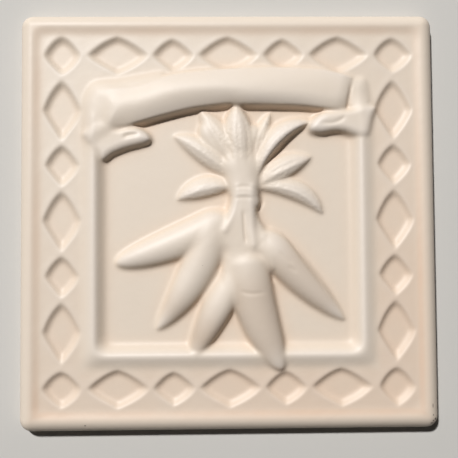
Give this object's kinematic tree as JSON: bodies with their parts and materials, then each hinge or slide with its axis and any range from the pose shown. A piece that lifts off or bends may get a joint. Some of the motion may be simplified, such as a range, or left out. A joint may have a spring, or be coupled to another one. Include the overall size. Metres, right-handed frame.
{
  "type": "decorative relief wall tile",
  "caption": "Square moulded and glazed wall tile with a lozenge border, a raised frame, a blank ribbon and a tied bunch of carrots in relief.",
  "frame": {"origin": "middle of the flat back face", "axes": "+Z out of the decorated face, +Y towards the side with the ribbon, +X to the right of the picture"},
  "size_m": [0.152, 0.152, 0.0116],
  "materials": {
    "cream_glaze": "satin warm white glaze over pale earthenware"
  },
  "bodies": {
    "root": {"tile": "cream_glaze"}
  },
  "joints": []
}
